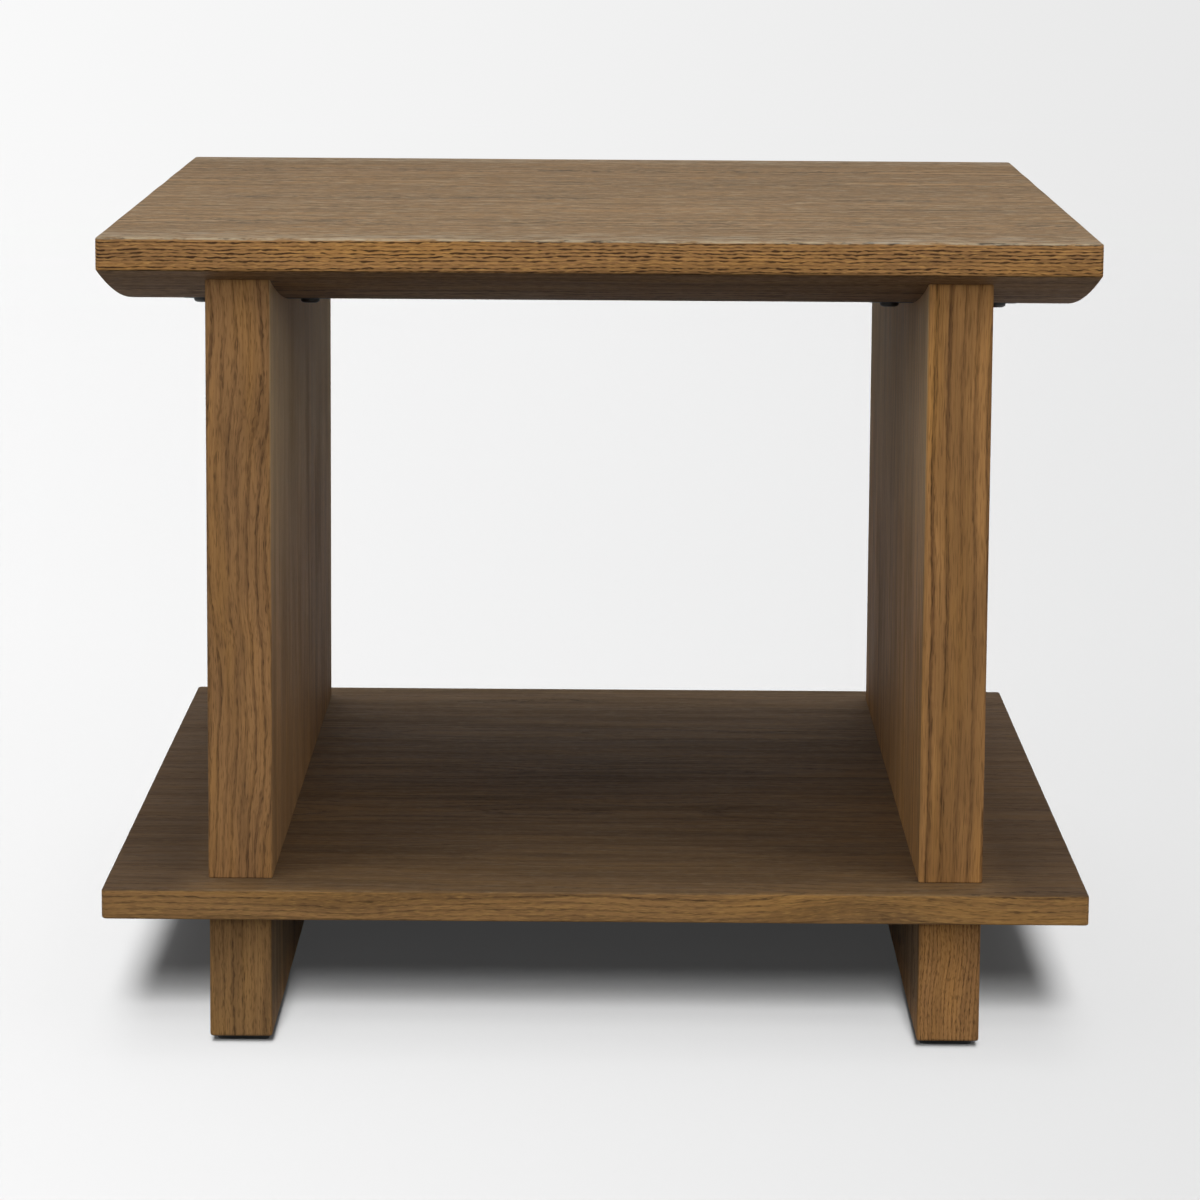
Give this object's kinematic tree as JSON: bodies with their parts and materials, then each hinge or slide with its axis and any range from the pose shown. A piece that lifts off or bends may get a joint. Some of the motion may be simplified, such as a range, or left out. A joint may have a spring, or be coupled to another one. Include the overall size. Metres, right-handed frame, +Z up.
{
  "type": "end table",
  "caption": "Rectangular oak end table: arched-underside slab top on two slab legs, with a full-size lower shelf on low runner feet.",
  "frame": {"origin": "on the floor under the middle of the table, at the bottom of the pads", "axes": "+X across the width, -Y out of the front, +Z up to the table top"},
  "size_m": [0.61, 0.711, 0.5105],
  "materials": {
    "oak": "brown-stained open-grain oak, satin",
    "beech": "raw turned beech",
    "black_rubber": "matt",
    "black_steel": "black oxide, satin",
    "zinc_steel": "zinc plated"
  },
  "bodies": {
    "root": {"top_slab": "oak", "shelf": "oak", "left_leg": "oak", "right_leg": "oak", "left_foot": "oak", "right_foot": "oak", "left_front_pad": "black_rubber", "left_rear_pad": "black_rubber", "right_front_pad": "black_rubber", "right_rear_pad": "black_rubber", "left_front_plate": "black_steel", "left_rear_plate": "black_steel", "right_front_plate": "black_steel", "right_rear_plate": "black_steel", "top_bolts": "black_steel", "plate_screws": "zinc_steel", "top_inserts": "zinc_steel", "foot_bolts": "zinc_steel", "foot_washers": "zinc_steel", "leg_inserts": "zinc_steel", "dowels": "beech"}
  },
  "joints": []
}
